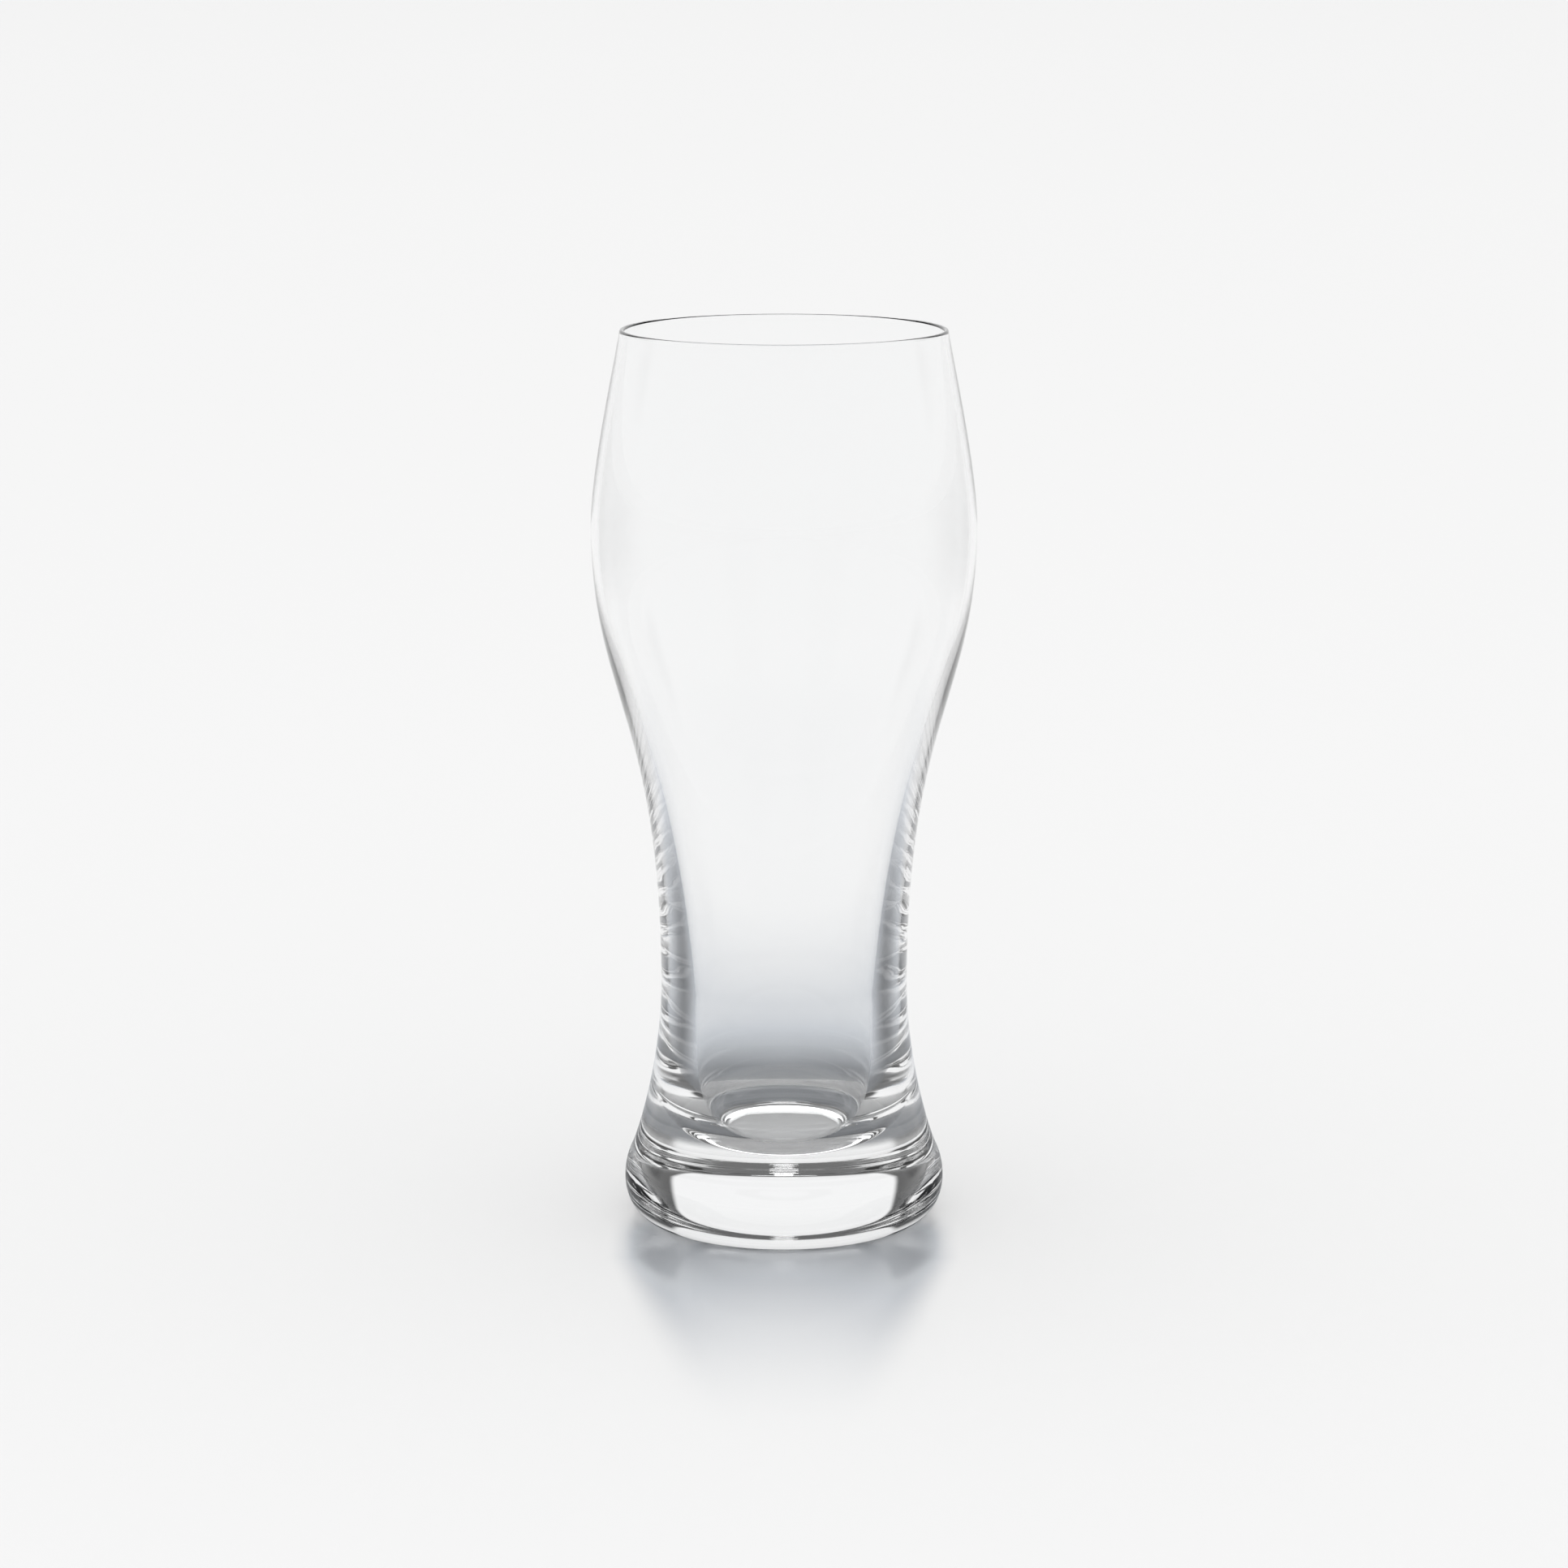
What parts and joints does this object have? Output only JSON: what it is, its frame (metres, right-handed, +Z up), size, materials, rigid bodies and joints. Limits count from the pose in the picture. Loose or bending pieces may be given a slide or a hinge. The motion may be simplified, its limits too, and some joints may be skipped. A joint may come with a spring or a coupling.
{
  "type": "footed beer tumbler",
  "caption": "Tall clear glass tumbler with a rounded belly, a narrow waist and a heavy flared foot, for beer and long drinks.",
  "frame": {"origin": "on the glass's axis at table level, in the plane of the flat ring that it stands on", "axes": "+Z up along the glass's axis of symmetry; the glass is round, so X and Y are any two level directions"},
  "size_m": [0.0788, 0.0788, 0.185],
  "materials": {
    "bowl_glass": "clear, fire-polished",
    "foot_glass": "clear, polished"
  },
  "bodies": {
    "root": {"bowl": "bowl_glass", "foot": "foot_glass"}
  },
  "joints": []
}
